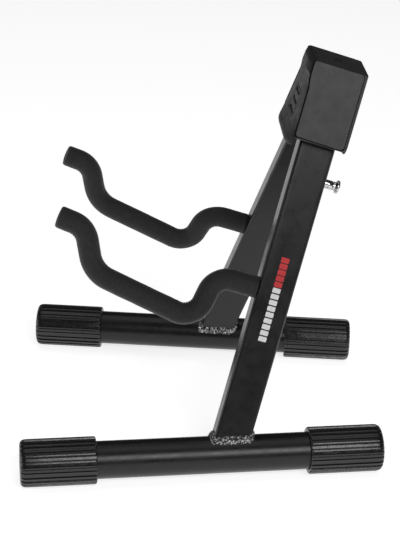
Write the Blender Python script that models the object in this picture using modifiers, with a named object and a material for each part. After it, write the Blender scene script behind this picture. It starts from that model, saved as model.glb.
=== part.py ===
"""Folding A-frame guitar stand.

Metres, +Z up.  The guitar faces -Y, the legs lean back towards +Y and splay
out to +X (right) and -X (left).  The origin is on the floor, in the middle of
the stand's outline.
"""

import math

import bmesh
import bpy
from mathutils import Matrix, Vector

# ---- Overall stance -------------------------------------------------------
LEAN = math.radians(16.15)          # both legs lean back by this much
SPLAY = math.radians(19.31)         # half the angle between the legs
LEG_REACH = 0.3355                  # hinge axis down to the foot tube's axis
HINGE_X = 0.015                     # hinge axes, half their spacing
LEG_BASE_Y = 0.0218                 # where the legs meet the foot tubes
GAP = 0.0003                        # clearance between touching pieces
FOLD = math.radians(17.0)           # how far each leg swings in to close

# ---- Legs -----------------------------------------------------------------
LEG_THICK = 0.020                   # narrow side, across the stand
LEG_DEPTH = 0.034                   # wide side, front to back
LEG_WALL = 0.0018
LEG_CORNER = 0.0025
LEG_ABOVE_HINGE = 0.012

# ---- Feet -----------------------------------------------------------------
FOOT_FRONT = 0.191                  # leg to the front end of the foot
FOOT_REAR = 0.1472                  # leg to the rear end of the foot
FOOT_TUBE_R = 0.0175
FOOT_TUBE_WALL = 0.0018
CAP_R = 0.022
CAP_LENGTH = 0.070
CAP_END_WALL = 0.005
CAP_RIBS = 24
CAP_GROOVE = 0.0012
WELD_SIZE = 0.0045

# ---- Cradle arms ----------------------------------------------------------
ARM_ROD_R = 0.005
FOAM_R = 0.0102
FOAM_END = 0.007                    # foam past the end of the rod
# Corners of the arm's centreline as (outwards, back, up the leg from the
# foot tube's axis), then the bend radius at that corner.
ARM_ROOT = (0.0026, -0.0173, 0.1579)
ARM_BENDS = (
    ((0.0026, -0.0564, 0.1579), 0.0189),
    ((-0.0003, -0.0642, 0.1128), 0.0191),
    ((0.0051, -0.1661, 0.1314), 0.0310),
    ((0.0123, -0.1847, 0.1692), 0.0227),
)
ARM_TIP = (0.0123, -0.2105, 0.1722)

# ---- Head -----------------------------------------------------------------
HEAD_TOP = 0.0404                   # above the hinge axes
HEAD_BOTTOM = -0.0286
HEAD_TOP_HALF = 0.025
HEAD_WALL = 0.003
SHELL_FRONT = -0.0250
SHELL_REAR = 0.0225
# Front of the pad at its middle as (height, y), from its chin to its top lip.
PAD_PROFILE = ((-0.0385, -0.0300), (-0.0372, -0.0311), (-0.0330, -0.0316),
               (-0.0285, -0.0314), (-0.0220, -0.0303), (-0.0130, -0.0295),
               (-0.0060, -0.0293), (0.0245, -0.0293), (0.0262, -0.0300),
               (0.0280, -0.0320), (0.0370, -0.0320), (0.0388, -0.0311),
               (0.0396, -0.0296))
PAD_SIDE = -0.0259                  # front of the pad at its side edges
PAD_FLAT = 0.008                    # half width of the flat middle
PAD_INSET = 0.0008
BACK_FRONT = 0.0228
BACK_REAR = 0.0243
BACK_DROP = 0.003                   # back plate below the shell
BRACKET_HALF = 0.026
BRACKET_TOP = 0.027
BRACKET_BOTTOM = -0.020
BRACKET_FRONT = -0.021
BRACKET_SHEET = 0.0018
TONGUE_HALF = 0.011
TONGUE_FRONT = 0.0207

# ---- Hinge hardware -------------------------------------------------------
BOLT_R = 0.004
BOLT_HOLE_R = 0.0044
BOLT_HEAD_R = 0.007
BOLT_HEAD = 0.0032
BOLT_END = 0.0283
NUT_R = 0.0075
NUT_THICK = 0.0045
WASHER_R = 0.008
SCREW_R = 0.0017
SCREW_HEAD_R = 0.0036
SCREW_HEAD = 0.0022
SCREW_PLACES = ((0.020, 0.0185), (-0.020, 0.0185), (0.021, -0.0155), (-0.021, -0.0155))

# ---- Lock -----------------------------------------------------------------
PIN_DROP = 0.0771                   # pin axis below the hinge axes
PIN_R = 0.0021
PIN_TIP = 0.0176
PIN_COLLAR_R = 0.0031
BARREL_R = 0.0044
BARREL_END = 0.0346
BARREL_BORE_R = 0.0034
KNOB_NECK_R = 0.0042
KNOB_R = 0.0064
KNOB_FLANGE = 0.0032
KNOB_END = 0.0412
LUG_SHEET = 0.0014
LUG_HALF = 0.008
SLOT_HALF = 0.0026
SPRING_WIRE_R = 0.00025
SPRING_R = 0.0027
SPRING_TURNS = 3

# ---- Worked out from the above -------------------------------------------
HINGE_UP = LEG_REACH * math.cos(SPLAY)
HINGE_Y = LEG_BASE_Y + HINGE_UP * math.sin(LEAN)
HINGE_Z = CAP_R + HINGE_UP * math.cos(LEAN)
TOE = math.asin(math.sin(SPLAY) * math.sin(LEAN) / math.sqrt(
    1 - (math.cos(SPLAY) * math.sin(LEAN)) ** 2))
PIN_RADIUS = math.hypot(HINGE_X, PIN_DROP)
PIN_ANGLE = SPLAY + math.atan(HINGE_X / PIN_DROP)
LEG_FRONT = -LEG_DEPTH / 2
LEG_REAR = LEG_DEPTH / 2
RIGHT_LUG_FRONT = LEG_REAR + GAP
LEFT_LUG_FRONT = RIGHT_LUG_FRONT + LUG_SHEET + GAP

# Head frame: x across, y back and down along the hinge axes, z up the lean.
HEAD_FRAME = Matrix.Translation((0, HINGE_Y, HINGE_Z)) @ Matrix.Rotation(-LEAN, 4, "X")


def leg_frame(side):
    """Frame on a hinge axis with z running up the leg; side is 1 or -1."""
    place = Matrix.Translation((side * HINGE_X, 0, 0))
    return HEAD_FRAME @ place @ Matrix.Rotation(-side * SPLAY, 4, "Y")


def foot_frame():
    """Frame of the right foot tube inside the right leg's frame.

    y runs to the front of the foot and z straight up.
    """
    forward = Vector((math.sin(TOE), -math.cos(TOE), 0))
    up = Vector((0, 0, 1))
    across = forward.cross(up)
    world = Matrix((across, forward, up)).transposed().to_4x4()
    turn = leg_frame(1).to_3x3().inverted().to_4x4() @ world
    return Matrix.Translation((0, 0, -LEG_REACH)) @ turn


# ---- Scene helpers --------------------------------------------------------
def clear_scene():
    for item in list(bpy.data.objects):
        bpy.data.objects.remove(item, do_unlink=True)
    for group in list(bpy.data.collections):
        bpy.data.collections.remove(group)


def new_collection(name):
    group = bpy.data.collections.new(name)
    bpy.context.scene.collection.children.link(group)
    return group


def paint(item, colour, metallic, roughness):
    mat = bpy.data.materials.new(item.name + "_mat")
    mat.use_nodes = True
    shader = mat.node_tree.nodes["Principled BSDF"]
    shader.inputs["Base Color"].default_value = (*colour, 1)
    shader.inputs["Metallic"].default_value = metallic
    shader.inputs["Roughness"].default_value = roughness
    item.data.materials.append(mat)


def add_object(name, mesh_data, frame, group, look=None):
    """Turn a bmesh into a placed object; look is (colour, metallic, roughness)."""
    bmesh.ops.recalc_face_normals(mesh_data, faces=mesh_data.faces)
    mesh = bpy.data.meshes.new(name)
    mesh_data.to_mesh(mesh)
    mesh_data.free()
    for face in mesh.polygons:
        face.use_smooth = look is not None and look[3]
    item = bpy.data.objects.new(name, mesh)
    item.matrix_world = frame
    group.objects.link(item)
    if look is None:
        item.hide_render = True
        item.display_type = "WIRE"
    else:
        paint(item, *look[:3])
    return item


def cut(item, tool_mesh, frame, operation="DIFFERENCE"):
    """Cut item with a bmesh placed in the same frame as the item."""
    name = f"{item.name}_cut_{len(item.modifiers)}"
    tool = add_object(name, tool_mesh, frame, cutters)
    change = item.modifiers.new(name, "BOOLEAN")
    change.operation = operation
    change.solver = "EXACT"
    change.object = tool


def soften(item, width, segments=2):
    change = item.modifiers.new("soft_edges", "BEVEL")
    change.width = width
    change.segments = segments
    change.limit_method = "ANGLE"
    change.angle_limit = math.radians(40)


# ---- Shape helpers --------------------------------------------------------
def prism(outline, start, end):
    """Close a flat (x, z) outline into a solid between two y positions."""
    shape = bmesh.new()
    near = [shape.verts.new((x, start, z)) for x, z in outline]
    far = [shape.verts.new((x, end, z)) for x, z in outline]
    shape.faces.new(near)
    shape.faces.new(far)
    count = len(outline)
    for i in range(count):
        j = (i + 1) % count
        shape.faces.new((near[i], near[j], far[j], far[i]))
    return shape


def side_prism(outline, half):
    """Close a (y, z) outline into a solid reaching half to each side in x."""
    shape = prism([(y, z) for y, z in outline], -half, half)
    swap = Matrix(((0, 1, 0, 0), (1, 0, 0, 0), (0, 0, 1, 0), (0, 0, 0, 1)))
    bmesh.ops.transform(shape, matrix=swap, verts=shape.verts)
    return shape


def box(x0, x1, y0, y1, z0, z1):
    return prism([(x0, z0), (x1, z0), (x1, z1), (x0, z1)], y0, y1)


def loft(rings, closed=False):
    """Skin equal rings of points; the ends are filled unless closed on itself."""
    shape = bmesh.new()
    rows = [[shape.verts.new(point) for point in ring] for ring in rings]
    size = len(rows[0])
    spans = len(rows) if closed else len(rows) - 1
    for i in range(spans):
        here = rows[i]
        after = rows[(i + 1) % len(rows)]
        for j in range(size):
            k = (j + 1) % size
            shape.faces.new((here[j], here[k], after[k], after[j]))
    if not closed:
        shape.faces.new(rows[0])
        shape.faces.new(rows[-1])
    return shape


def turned(profile, sides, x=0.0, z=0.0, closed=False):
    """Revolve (radius, y) points about a y-wise axis through (x, z)."""
    rings = []
    for radius, y in profile:
        ring = []
        for i in range(sides):
            turn = 2 * math.pi * (i + 0.5) / sides
            ring.append((x + radius * math.cos(turn), y, z + radius * math.sin(turn)))
        rings.append(ring)
    return loft(rings, closed)


def rod(radius, y0, y1, x=0.0, z=0.0, sides=24):
    return turned([(radius, y0), (radius, y1)], sides, x, z)


def ring_profile(inner, outer, y0, y1):
    return [(inner, y0), (outer, y0), (outer, y1), (inner, y1)]


def rounded_box_outline(half_x, half_y, radius, steps):
    points = []
    corners = ((1, 1, 0), (-1, 1, 90), (-1, -1, 180), (1, -1, 270))
    for sx, sy, start in corners:
        for i in range(steps + 1):
            turn = math.radians(start + 90 * i / steps)
            points.append((sx * (half_x - radius) + radius * math.cos(turn),
                           sy * (half_y - radius) + radius * math.sin(turn)))
    return points


def rounded_outline(corners, radii, steps=4):
    """Round each corner of a flat polygon by its own radius."""
    points = []
    count = len(corners)
    for i in range(count):
        here = Vector(corners[i])
        if radii[i] == 0:
            points.append(tuple(here))
            continue
        back = (Vector(corners[i - 1]) - here).normalized()
        ahead = (Vector(corners[(i + 1) % count]) - here).normalized()
        points.extend(fillet(here, back, ahead, radii[i], steps))
    return points


def fillet(corner, back, ahead, radius, steps):
    """Points of the arc that rounds a corner between two unit directions."""
    half = back.angle(ahead) / 2
    reach = radius / math.tan(half)
    centre = corner + (back + ahead).normalized() * (radius / math.sin(half))
    first = corner + back * reach - centre
    last = corner + ahead * reach - centre
    arc = first.angle(last)
    points = []
    for i in range(steps + 1):
        share = i / steps
        mix = first * math.sin((1 - share) * arc) + last * math.sin(share * arc)
        points.append(tuple(centre + mix / math.sin(arc)))
    return points


def sector_outline(radius, half, start, end):
    """A curved bar with round ends about the hinge axis, angles from -z."""
    points = []
    for i in range(13):
        turn = start + (end - start) * i / 12
        points.append(on_circle(radius + half, turn))
    points.extend(round_end(radius, half, end, 1))
    for i in range(13):
        turn = end + (start - end) * i / 12
        points.append(on_circle(radius - half, turn))
    points.extend(round_end(radius, half, start, -1))
    return points


def on_circle(radius, turn):
    return (radius * math.sin(turn), -radius * math.cos(turn))


def round_end(radius, half, turn, way):
    """Half circle that closes the end of a curved bar."""
    x, z = on_circle(radius, turn)
    points = []
    for i in range(1, 8):
        swing = turn + way * math.pi * i / 8
        if way < 0:
            swing = turn + math.pi + math.pi * i / 8
        points.append((x + half * math.sin(swing), z - half * math.cos(swing)))
    return points


def sweep(path, radii, sides):
    """Rings of the given radii around a path, kept from twisting."""
    rings = []
    sideways = Vector((1, 0, 0))
    for i, point in enumerate(path):
        before = Vector(path[max(i - 1, 0)])
        after = Vector(path[min(i + 1, len(path) - 1)])
        along = (after - before).normalized()
        across = (sideways - along * sideways.dot(along)).normalized()
        third = along.cross(across)
        ring = []
        for j in range(sides):
            turn = 2 * math.pi * j / sides
            spoke = across * math.cos(turn) + third * math.sin(turn)
            ring.append(tuple(Vector(point) + spoke * radii[i]))
        rings.append(ring)
    return rings


def arm_path():
    """Centreline of the right arm in the right leg's frame."""
    def place(point):
        return Vector((point[0], point[1], point[2] - LEG_REACH))

    corners = [place(ARM_ROOT)]
    corners.extend(place(bend[0]) for bend in ARM_BENDS)
    corners.append(place(ARM_TIP))
    path = [tuple(corners[0])]
    for i, bend in enumerate(ARM_BENDS):
        here = corners[i + 1]
        back = (corners[i] - here).normalized()
        ahead = (corners[i + 2] - here).normalized()
        path.extend(fillet(here, back, ahead, bend[1], 4))
    path.append(tuple(corners[-1]))
    return path


# ---- Leg pieces (drawn in the right leg's frame) --------------------------
STEEL = ((0.02, 0.02, 0.021), 0.6, 0.35, False)
ROUND_STEEL = ((0.02, 0.02, 0.021), 0.6, 0.35, True)
RUBBER = ((0.015, 0.015, 0.015), 0.0, 0.7, False)
FOAM = ((0.02, 0.02, 0.02), 0.0, 0.9, True)
PLASTIC = ((0.03, 0.03, 0.031), 0.0, 0.5, False)
CHROME = ((0.8, 0.8, 0.8), 1.0, 0.15, True)
ZINC = ((0.4, 0.4, 0.4), 1.0, 0.35, False)


def leg_tube(name, frame):
    outer = rounded_box_outline(LEG_THICK / 2, LEG_DEPTH / 2, LEG_CORNER, 4)
    inner = rounded_box_outline(LEG_THICK / 2 - LEG_WALL, LEG_DEPTH / 2 - LEG_WALL,
                                LEG_CORNER - LEG_WALL, 4)
    low = -LEG_REACH
    rings = [[(x, y, low) for x, y in outer],
             [(x, y, LEG_ABOVE_HINGE) for x, y in outer],
             [(x, y, LEG_ABOVE_HINGE) for x, y in inner],
             [(x, y, low) for x, y in inner]]
    item = add_object(name, loft(rings, closed=True), frame, stand, STEEL)
    seat = rod(FOOT_TUBE_R + GAP, -0.06, 0.06, sides=48)
    bmesh.ops.transform(seat, matrix=foot_frame(), verts=seat.verts)
    cut(item, seat, frame)
    cut(item, rod(BOLT_HOLE_R, -0.03, 0.03), frame)
    return item


def foot_tube(name, frame):
    back = -FOOT_REAR + CAP_END_WALL + GAP
    front = FOOT_FRONT - CAP_END_WALL - GAP
    profile = ring_profile(FOOT_TUBE_R - FOOT_TUBE_WALL, FOOT_TUBE_R, back, front)
    shape = turned(profile, 48, closed=True)
    bmesh.ops.transform(shape, matrix=foot_frame(), verts=shape.verts)
    return add_object(name, shape, frame, stand, ROUND_STEEL)


def ribbed_ring(y, radius, groove):
    """One outline of a ribbed cap; every rib has a flat crown."""
    crown = math.radians(4.4)
    root = math.radians(2.3)
    pitch = 2 * math.pi / CAP_RIBS
    ring = []
    for i in range(CAP_RIBS):
        middle = -math.pi / 2 + i * pitch
        for turn, reach in ((-crown, radius / math.cos(crown)),
                            (crown, radius / math.cos(crown)),
                            (pitch / 2 - root, radius - groove),
                            (pitch / 2 + root, radius - groove)):
            angle = middle + turn
            ring.append((reach * math.cos(angle), y, reach * math.sin(angle)))
    return ring


def plain_ring(y, radius):
    """A round outline with its points in line with ribbed_ring's."""
    ring = []
    for x, _, z in ribbed_ring(y, CAP_R, CAP_GROOVE):
        length = math.hypot(x, z)
        ring.append((x / length * radius, y, z / length * radius))
    return ring


def end_cap(name, frame, direction, reach):
    """Ribbed cup pushed over one end of the foot tube."""
    mouth = reach - CAP_LENGTH
    bore = FOOT_TUBE_R + GAP
    floor = reach - CAP_END_WALL
    rings = [plain_ring(floor, bore),
             plain_ring(mouth, bore),
             ribbed_ring(mouth, CAP_R - 0.0006, CAP_GROOVE - 0.0004),
             ribbed_ring(mouth + 0.0008, CAP_R, CAP_GROOVE),
             ribbed_ring(reach - 0.005, CAP_R, CAP_GROOVE),
             ribbed_ring(reach - 0.0020, CAP_R - 0.0012, CAP_GROOVE - 0.0002),
             ribbed_ring(reach - 0.0006, CAP_R - 0.0034, 0.0004),
             plain_ring(reach, CAP_R - 0.0065)]
    shape = loft(rings)
    if direction < 0:
        flip = Matrix.Scale(-1, 4, (0, 1, 0))
        bmesh.ops.transform(shape, matrix=flip, verts=shape.verts)
    bmesh.ops.transform(shape, matrix=foot_frame(), verts=shape.verts)
    return add_object(name, shape, frame, stand, RUBBER)


def tube_height(x, y, radius):
    """Height of the foot tube's skin at a place across the leg."""
    axis = foot_frame().to_3x3() @ Vector((0, 1, 0))
    flat = x * axis.x + y * axis.y
    a = 1 - axis.z ** 2
    b = -2 * axis.z * flat
    c = x * x + y * y - flat * flat - radius * radius
    return (-b + math.sqrt(b * b - 4 * a * c)) / (2 * a) - LEG_REACH


def foot_weld(name, frame):
    """Bead that runs round the leg where it stands on the foot tube."""
    outline = rounded_box_outline(LEG_THICK / 2, LEG_DEPTH / 2, LEG_CORNER, 4)
    outline = split_long_edges(outline, 0.004)
    skin = FOOT_TUBE_R + 2 * GAP
    rings = []
    count = len(outline)
    for i, (x, y) in enumerate(outline):
        before = Vector(outline[i - 1])
        after = Vector(outline[(i + 1) % count])
        along = (after - before).normalized()
        out = Vector((along.y, -along.x))
        ring = []
        for away, lift in ((GAP, 0), (WELD_SIZE, 0),
                           (WELD_SIZE * 0.62, WELD_SIZE * 0.62), (GAP, WELD_SIZE)):
            px = x + out.x * away
            py = y + out.y * away
            ring.append((px, py, tube_height(px, py, skin) + lift))
        rings.append(ring)
    return add_object(name, loft(rings, closed=True), frame, stand, STEEL)


def split_long_edges(outline, longest):
    points = []
    for i, point in enumerate(outline):
        after = Vector(outline[(i + 1) % len(outline)])
        here = Vector(point)
        parts = max(1, round((after - here).length / longest))
        for j in range(parts):
            points.append(tuple(here.lerp(after, j / parts)))
    return points


def arm_rod(name, frame):
    path = arm_path()
    tip = Vector(path[-1])
    back = (Vector(path[-2]) - tip).normalized()
    path[-1] = tuple(tip + back * FOAM_END)
    rings = sweep(path, [ARM_ROD_R] * len(path), 10)
    return add_object(name, loft(rings), frame, stand, ROUND_STEEL)


def arm_foam(name, frame):
    """Sleeve over the whole arm, closed and rounded at the tip."""
    path = arm_path()
    tip = Vector(path[-1])
    back = (Vector(path[-2]) - tip).normalized()
    skin = path[:-1] + [tuple(tip + back * 0.0030), tuple(tip + back * 0.0008), tuple(tip)]
    radii = [FOAM_R] * (len(skin) - 2) + [FOAM_R - 0.0012, FOAM_R - 0.0034]
    bore = path[:-1] + [tuple(tip + back * (FOAM_END - GAP))]
    inside = sweep(bore, [ARM_ROD_R + GAP] * len(bore), 16)
    outside = sweep(skin, radii, 16)
    rings = list(reversed(inside)) + outside
    return add_object(name, loft(rings), frame, stand, FOAM)


def lock_lug(name, frame, front, stem):
    """Slotted lug; the stem version reaches down to its spacer."""
    inner = math.asin(0.0028 / PIN_RADIUS)
    root = -inner - LUG_HALF / PIN_RADIUS
    outline = sector_outline(PIN_RADIUS, LUG_HALF, -PIN_ANGLE, root)
    if stem:
        outline = stem_outline(outline)
    item = add_object(name, prism(outline, front, front + LUG_SHEET), frame, stand, ZINC)
    slot = sector_outline(PIN_RADIUS, SLOT_HALF, -PIN_ANGLE, -PIN_ANGLE + FOLD)
    cut(item, prism(slot, front - 0.001, front + LUG_SHEET + 0.001), frame)
    return item


def stem_outline(outline):
    """Carry the leg end of a lug's outline down along the leg."""
    low = -PIN_RADIUS - 0.0295
    kept = []
    for x, z in outline:
        if x < -0.0145 or z > -PIN_RADIUS:
            kept.append((x, z))
    start = max(range(len(kept)), key=lambda i: gap_after(kept, i))
    stem = [(-0.0140, low + 0.002), (-0.0125, low), (-0.0042, low), (-0.0027, low + 0.002)]
    return kept[:start + 1] + stem + kept[start + 1:]


def gap_after(points, i):
    return (Vector(points[(i + 1) % len(points)]) - Vector(points[i])).length


def lug_spacer(name, frame):
    low = -PIN_RADIUS - 0.0290
    shape = box(-0.0097, -0.0030, RIGHT_LUG_FRONT, RIGHT_LUG_FRONT + LUG_SHEET,
                low, low + 0.016)
    return add_object(name, shape, frame, stand, ZINC)


def mirror_shape(item):
    """Reflect an object's own mesh across x, for the left side."""
    item.data.transform(Matrix.Scale(-1, 4, (1, 0, 0)))
    item.data.flip_normals()


def build_leg(side, word):
    frame = leg_frame(side)
    pieces = [leg_tube(f"{word}_leg_tube", frame),
              foot_tube(f"{word}_foot_tube", frame),
              foot_weld(f"{word}_foot_weld", frame),
              end_cap(f"{word}_front_cap", frame, 1, FOOT_FRONT),
              end_cap(f"{word}_rear_cap", frame, -1, FOOT_REAR),
              arm_rod(f"{word}_arm_rod", frame),
              arm_foam(f"{word}_arm_foam", frame)]
    if side > 0:
        pieces.append(lock_lug(f"{word}_lock_lug", frame, RIGHT_LUG_FRONT, False))
    else:
        pieces.append(lock_lug(f"{word}_lock_lug", frame, LEFT_LUG_FRONT, True))
        pieces.append(lug_spacer(f"{word}_lug_spacer", frame))
        for item in pieces:
            mirror_shape(item)
            for change in item.modifiers:
                mirror_shape(change.object)


# ---- Head pieces (drawn in the head frame) --------------------------------
def head_half(z, inset=0.0):
    """Half width of the head at a height; its sides run with the legs."""
    return HEAD_TOP_HALF + (HEAD_TOP - z) * math.tan(SPLAY) - inset / math.cos(SPLAY)


def head_shell():
    top = HEAD_TOP - HEAD_WALL
    outer_low = head_half(HEAD_BOTTOM)
    inner_low = head_half(HEAD_BOTTOM, HEAD_WALL)
    inner_top = head_half(top, HEAD_WALL)
    corners = [(-outer_low, HEAD_BOTTOM), (-HEAD_TOP_HALF, HEAD_TOP),
               (HEAD_TOP_HALF, HEAD_TOP), (outer_low, HEAD_BOTTOM),
               (inner_low, HEAD_BOTTOM), (inner_top, top),
               (-inner_top, top), (-inner_low, HEAD_BOTTOM)]
    radii = (0, 0.005, 0.005, 0, 0, 0.002, 0.002, 0)
    shape = prism(rounded_outline(corners, radii), SHELL_FRONT, SHELL_REAR)
    item = add_object("head_shell", shape, HEAD_FRAME, stand, PLASTIC)
    soften(item, 0.0009)


def pad_front(z):
    """Front of the pad's middle at a height."""
    for (z0, y0), (z1, y1) in zip(PAD_PROFILE, PAD_PROFILE[1:]):
        if z <= z1:
            return y0 + (y1 - y0) * (z - z0) / (z1 - z0)
    return PAD_PROFILE[-1][1]


def corner_loss(distance, radius):
    """How far a rounded corner draws a side in, near the end of that side."""
    if distance >= radius:
        return 0.0
    return radius - math.sqrt(radius ** 2 - (radius - distance) ** 2)


def head_pad():
    """Rubber pad, crowned across its width, with a chin and a top lip."""
    low = PAD_PROFILE[0][0]
    high = PAD_PROFILE[-1][0]
    back = SHELL_FRONT - GAP
    rings = []
    for z, front in PAD_PROFILE:
        half = head_half(z, PAD_INSET)
        half -= 0.9 * corner_loss(z - low, 0.012) + 0.6 * corner_loss(high - z, 0.004)
        ring = [(half, back, z), (-half, back, z)]
        for i in range(13):
            x = half * (i / 6 - 1)
            past = max(0.0, abs(x) - PAD_FLAT) / (half - PAD_FLAT)
            ring.append((x, front + (PAD_SIDE - front) * past ** 2, z))
        rings.append(ring)
    item = add_object("head_pad", loft(rings), HEAD_FRAME, stand, RUBBER)
    for step in range(3):
        middle = -0.0155 + 0.009 * step
        bar = rounded_outline([(-0.012, middle - 0.0016), (-0.012, middle + 0.0016),
                               (0.012, middle + 0.0016), (0.012, middle - 0.0016)],
                              (0.0015, 0.0015, 0.0015, 0.0015))
        cut(item, prism(bar, -0.036, pad_front(middle) + 0.0011), HEAD_FRAME)


def head_back():
    low = HEAD_BOTTOM - BACK_DROP
    corners = [(-head_half(low, 0.001), low), (-head_half(HEAD_TOP), HEAD_TOP),
               (head_half(HEAD_TOP), HEAD_TOP), (head_half(low, 0.001), low)]
    outline = rounded_outline(corners, (0.006, 0.005, 0.005, 0.006))
    item = add_object("head_back", prism(outline, BACK_FRONT, BACK_REAR),
                      HEAD_FRAME, stand, PLASTIC)
    for side in (-1, 1):
        hole = rod(NUT_R + 0.001, BACK_FRONT - 0.001, BACK_REAR + 0.001, side * HINGE_X)
        cut(item, hole, HEAD_FRAME)
    for x, z in SCREW_PLACES:
        hole = rod(SCREW_R + GAP, BACK_FRONT - 0.001, BACK_REAR + 0.001, x, z, 16)
        cut(item, hole, HEAD_FRAME)


def head_bracket():
    """Bent sheet over both legs with a tongue that carries the lock barrel."""
    rear = TONGUE_FRONT + BRACKET_SHEET
    tongue_low = -PIN_DROP - 0.0105
    sheet = BRACKET_SHEET
    corners = [(BRACKET_FRONT, BRACKET_BOTTOM), (BRACKET_FRONT, BRACKET_TOP),
               (rear, BRACKET_TOP), (rear, tongue_low), (TONGUE_FRONT, tongue_low),
               (TONGUE_FRONT, BRACKET_TOP - sheet),
               (BRACKET_FRONT + sheet, BRACKET_TOP - sheet),
               (BRACKET_FRONT + sheet, BRACKET_BOTTOM)]
    radii = (0, 0.0035, 0.0035, 0, 0, 0.001, 0.001, 0)
    shape = side_prism(rounded_outline(corners, radii), BRACKET_HALF)
    item = add_object("head_bracket", shape, HEAD_FRAME, stand, STEEL)
    for side in (-1, 1):
        near = side * TONGUE_HALF
        far = side * (BRACKET_HALF + 0.002)
        trim = box(min(near, far), max(near, far), TONGUE_FRONT - 0.001, rear + 0.001,
                   tongue_low - 0.001, BRACKET_BOTTOM)
        cut(item, trim, HEAD_FRAME)
        hole = rod(BOLT_HOLE_R, BRACKET_FRONT - 0.001, rear + 0.001, side * HINGE_X)
        cut(item, hole, HEAD_FRAME)
    for x, z in SCREW_PLACES:
        hole = rod(SCREW_R + GAP, TONGUE_FRONT - 0.001, rear + 0.001, x, z, 16)
        cut(item, hole, HEAD_FRAME)
    cut(item, rod(PIN_R + 0.0004, TONGUE_FRONT - 0.001, rear + 0.001, 0, -PIN_DROP),
        HEAD_FRAME)


def back_screws():
    seat = BACK_REAR + GAP
    for i, (x, z) in enumerate(SCREW_PLACES):
        profile = [(SCREW_R, TONGUE_FRONT + 0.0006), (SCREW_R, seat),
                   (SCREW_HEAD_R, seat), (SCREW_HEAD_R, seat + SCREW_HEAD * 0.5),
                   (SCREW_HEAD_R * 0.8, seat + SCREW_HEAD * 0.9),
                   (SCREW_HEAD_R * 0.55, seat + SCREW_HEAD)]
        item = add_object(f"back_screw_{i + 1}", turned(profile, 16, x, z),
                          HEAD_FRAME, stand, ZINC)
        socket = turned([(0.0014, seat + 0.001), (0.0014, seat + 0.003)], 6, x, z)
        cut(item, socket, HEAD_FRAME)


def hinge_hardware(side, word):
    x = side * HINGE_X
    seat = BRACKET_FRONT - GAP
    bolt = [(BOLT_HEAD_R * 0.6, seat - BOLT_HEAD), (BOLT_HEAD_R * 0.9, seat - BOLT_HEAD * 0.75),
            (BOLT_HEAD_R, seat - BOLT_HEAD * 0.4), (BOLT_HEAD_R, seat), (BOLT_R, seat),
            (BOLT_R, BOLT_END - 0.0006), (BOLT_R - 0.0006, BOLT_END)]
    add_object(f"{word}_hinge_bolt", turned(bolt, 24, x), HEAD_FRAME, stand, ZINC)
    nut_front = TONGUE_FRONT + BRACKET_SHEET + GAP
    nut = turned([(NUT_R, nut_front), (NUT_R, nut_front + NUT_THICK)], 6, x)
    item = add_object(f"{word}_hinge_nut", nut, HEAD_FRAME, stand, ZINC)
    cut(item, rod(BOLT_R + GAP, nut_front - 0.001, nut_front + NUT_THICK + 0.001, x),
        HEAD_FRAME)
    front = ring_profile(BOLT_HOLE_R, WASHER_R, BRACKET_FRONT + BRACKET_SHEET + GAP,
                         LEG_FRONT - GAP)
    add_object(f"{word}_front_washer", turned(front, 24, x, closed=True),
               HEAD_FRAME, stand, ZINC)
    rear = ring_profile(BOLT_HOLE_R, WASHER_R, LEG_REAR + GAP, TONGUE_FRONT - GAP)
    add_object(f"{word}_rear_bush", turned(rear, 24, x, closed=True),
               HEAD_FRAME, stand, PLASTIC)


# ---- Lock pieces (drawn about the pin's axis) -----------------------------
def lock_parts():
    frame = HEAD_FRAME @ Matrix.Translation((0, 0, -PIN_DROP))
    seat = TONGUE_FRONT + BRACKET_SHEET + GAP
    bore_end = BARREL_END - 0.0015
    barrel = [(BARREL_BORE_R, seat), (0.006, seat), (0.006, seat + 0.0012),
              (BARREL_R, seat + 0.0012), (BARREL_R, BARREL_END - 0.0004),
              (BARREL_R - 0.0004, BARREL_END), (PIN_R + GAP, BARREL_END),
              (PIN_R + GAP, bore_end), (BARREL_BORE_R, bore_end)]
    add_object("lock_barrel", turned(barrel, 24, closed=True), frame, stand, CHROME)
    collar = seat + GAP
    pin_end = KNOB_END - 0.0012
    pin = [(PIN_R - 0.0005, PIN_TIP), (PIN_R, PIN_TIP + 0.0005), (PIN_R, collar),
           (PIN_COLLAR_R, collar), (PIN_COLLAR_R, collar + 0.001),
           (PIN_R, collar + 0.001), (PIN_R, pin_end)]
    add_object("lock_pin", turned(pin, 24), frame, stand, CHROME)
    neck = BARREL_END + GAP
    flange = KNOB_END - KNOB_FLANGE
    knob = [(PIN_R + GAP, pin_end + GAP), (PIN_R + GAP, neck), (KNOB_NECK_R, neck),
            (KNOB_NECK_R, flange), (KNOB_R - 0.0005, flange), (KNOB_R, flange + 0.0005),
            (KNOB_R, KNOB_END - 0.0005), (KNOB_R - 0.0005, KNOB_END)]
    add_object("pull_knob", turned(knob, 24), frame, stand, CHROME)
    start = collar + 0.001 + GAP + SPRING_WIRE_R
    end = bore_end - GAP - SPRING_WIRE_R
    path = []
    for i in range(SPRING_TURNS * 12 + 1):
        share = i / (SPRING_TURNS * 12)
        turn = 2 * math.pi * SPRING_TURNS * share
        path.append((SPRING_R * math.cos(turn), start + (end - start) * share,
                     SPRING_R * math.sin(turn)))
    add_object("lock_spring", loft(coil_rings(path)), frame, stand, ZINC)


def coil_rings(path):
    """Small round wire section at each point of a coil about y."""
    rings = []
    for i, point in enumerate(path):
        before = Vector(path[max(i - 1, 0)])
        after = Vector(path[min(i + 1, len(path) - 1)])
        along = (after - before).normalized()
        out = Vector((point[0], 0, point[2])).normalized()
        out = (out - along * out.dot(along)).normalized()
        third = along.cross(out)
        ring = []
        for j in range(5):
            turn = 2 * math.pi * j / 5
            spoke = out * math.cos(turn) + third * math.sin(turn)
            ring.append(tuple(Vector(point) + spoke * SPRING_WIRE_R))
        rings.append(ring)
    return rings


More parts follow.
